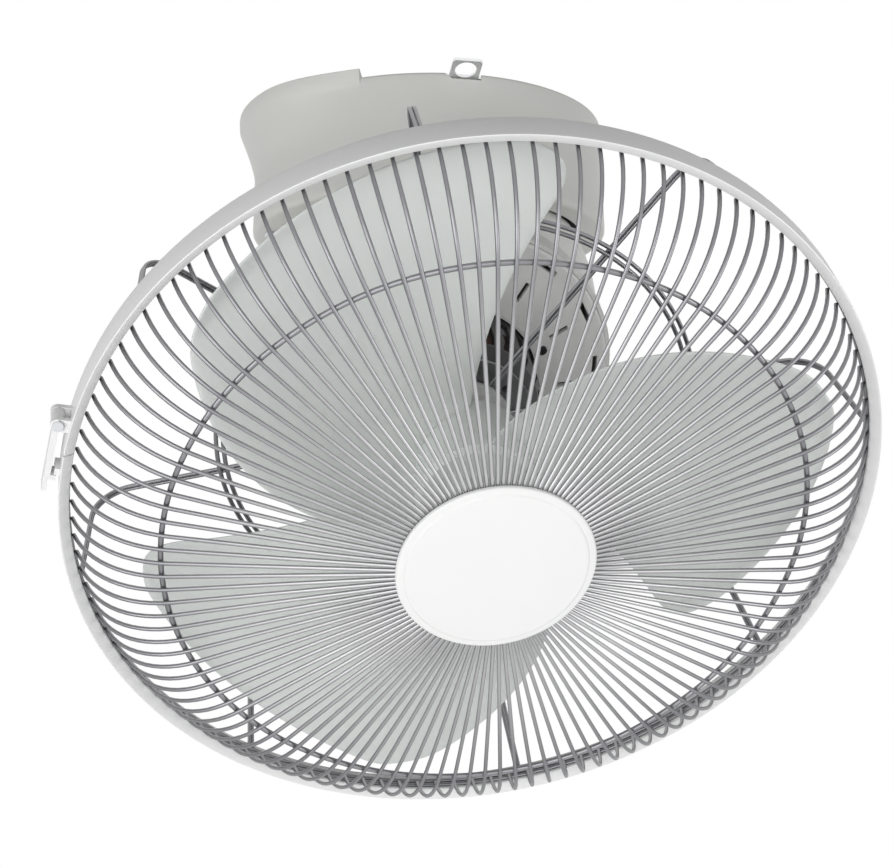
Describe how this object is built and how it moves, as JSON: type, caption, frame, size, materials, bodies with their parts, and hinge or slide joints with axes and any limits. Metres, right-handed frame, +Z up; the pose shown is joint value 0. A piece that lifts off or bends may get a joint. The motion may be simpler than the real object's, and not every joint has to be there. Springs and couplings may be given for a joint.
{
  "type": "orbital ceiling fan",
  "caption": "Ceiling fan whose caged head hangs in a yoke under a drum, tilts on a pivot and sweeps round a vertical axis.",
  "frame": {"origin": "on the orbit axis, in the ceiling plane that the mounting plate rests on", "axes": "+Z up along the orbit axis, -Y the way the head looks at rest, +X to the right seen from the front"},
  "size_m": [0.459, 0.4141, 0.4204],
  "materials": {
    "zinc_steel": "bright zinc plate, lightly streaked",
    "cover_white": "moulded white plastic, soft gloss",
    "screw_steel": "zinc-plated",
    "dark_screws": "blackened",
    "black_plastic": "moulded, matt",
    "cable_rubber": "matt",
    "turned_steel": "ground",
    "motor_can": "drawn steel can",
    "carbon_brass": "machined",
    "bush_bronze": "sintered, oiled",
    "gear_nylon": "natural nylon",
    "pressed_steel": "pressed, plated",
    "washer_fibre": "pressed fibre",
    "housing_grey": "moulded light grey plastic, fine satin",
    "bell_metal": "black stove enamel",
    "core_steel": "stacked laminations",
    "winding_copper": "enamelled copper wire",
    "blade_plastic": "moulded, pale grey-green, smooth",
    "guard_wire": "bright nickel-plated steel wire",
    "guard_white": "moulded white plastic"
  },
  "bodies": {
    "base": {"ceiling_plate": "zinc_steel", "safety_ear": "zinc_steel", "chassis": "zinc_steel", "base_cover": "cover_white", "chassis_screws": "screw_steel", "cover_screws": "screw_steel", "terminal_block": "black_plastic", "cable_bush": "cable_rubber", "orbit_spindle": "turned_steel", "bearing_inner_race": "turned_steel", "spindle_nut": "screw_steel", "orbit_motor": "motor_can", "brush_block": "black_plastic", "brushes": "carbon_brass"},
    "pinion": {"orbit_pinion": "gear_nylon"},
    "carrier": {"turntable": "pressed_steel", "orbit_gear": "gear_nylon", "gear_screws": "screw_steel", "slip_ring_core": "black_plastic", "slip_rings": "carbon_brass", "bearing_outer_race": "turned_steel", "yoke": "pressed_steel", "yoke_screws": "screw_steel"},
    "head": {"head_bracket": "pressed_steel", "friction_washers": "washer_fibre", "pivot_bolts": "screw_steel", "pivot_nuts": "screw_steel", "pivot_caps": "housing_grey", "ball_cover": "housing_grey", "front_cover": "housing_grey", "front_cover_screws": "dark_screws", "capacitor": "black_plastic", "motor_rear_bell": "bell_metal", "motor_front_bell": "bell_metal", "motor_bushes": "bush_bronze", "stator_core": "core_steel", "windings": "winding_copper", "motor_screws": "screw_steel", "rear_guard_plate": "guard_wire", "rear_guard_arms": "guard_wire", "rear_guard_rings": "guard_wire", "guard_nut": "guard_white", "guard_ring": "guard_white", "front_guard_wires": "guard_wire", "front_guard_ring": "guard_wire", "guard_rims": "guard_wire", "hub_back_plate": "guard_wire", "hub_disc": "guard_white", "hub_screw": "screw_steel", "clamp_pin": "screw_steel"},
    "rotor": {"rotor_core": "core_steel", "motor_shaft": "turned_steel", "fan_hub": "blade_plastic", "fan_blades": "blade_plastic", "fan_nut": "blade_plastic"},
    "clamp": {"clamp_lever": "guard_white"}
  },
  "joints": [
    {"name": "orbit", "type": "hinge", "parent": "base", "child": "carrier", "pos_m": [0, 0, -0.05], "axis": [0, 0, 1], "continuous": true},
    {"name": "pinion_spin", "type": "hinge", "parent": "base", "child": "pinion", "pos_m": [0, 0.054, -0.041], "axis": [0, 0, 1], "continuous": true},
    {"name": "tilt", "type": "hinge", "parent": "carrier", "child": "head", "pos_m": [0, 0, -0.1244], "axis": [1, 0, 0], "range_deg": [-5, 8]},
    {"name": "fan_spin", "type": "hinge", "parent": "head", "child": "rotor", "pos_m": [0, -0.10476, -0.23175], "axis": [0, -0.6984, -0.7157], "continuous": true},
    {"name": "clamp_open", "type": "hinge", "parent": "head", "child": "clamp", "pos_m": [-0.22641, -0.16066, -0.22471], "axis": [0, 0.6984, 0.7157], "range_deg": [0, 75]}
  ],
  "couplings": [
    {"joint": "pinion_spin", "follows": "orbit", "ratio": -5}
  ]
}
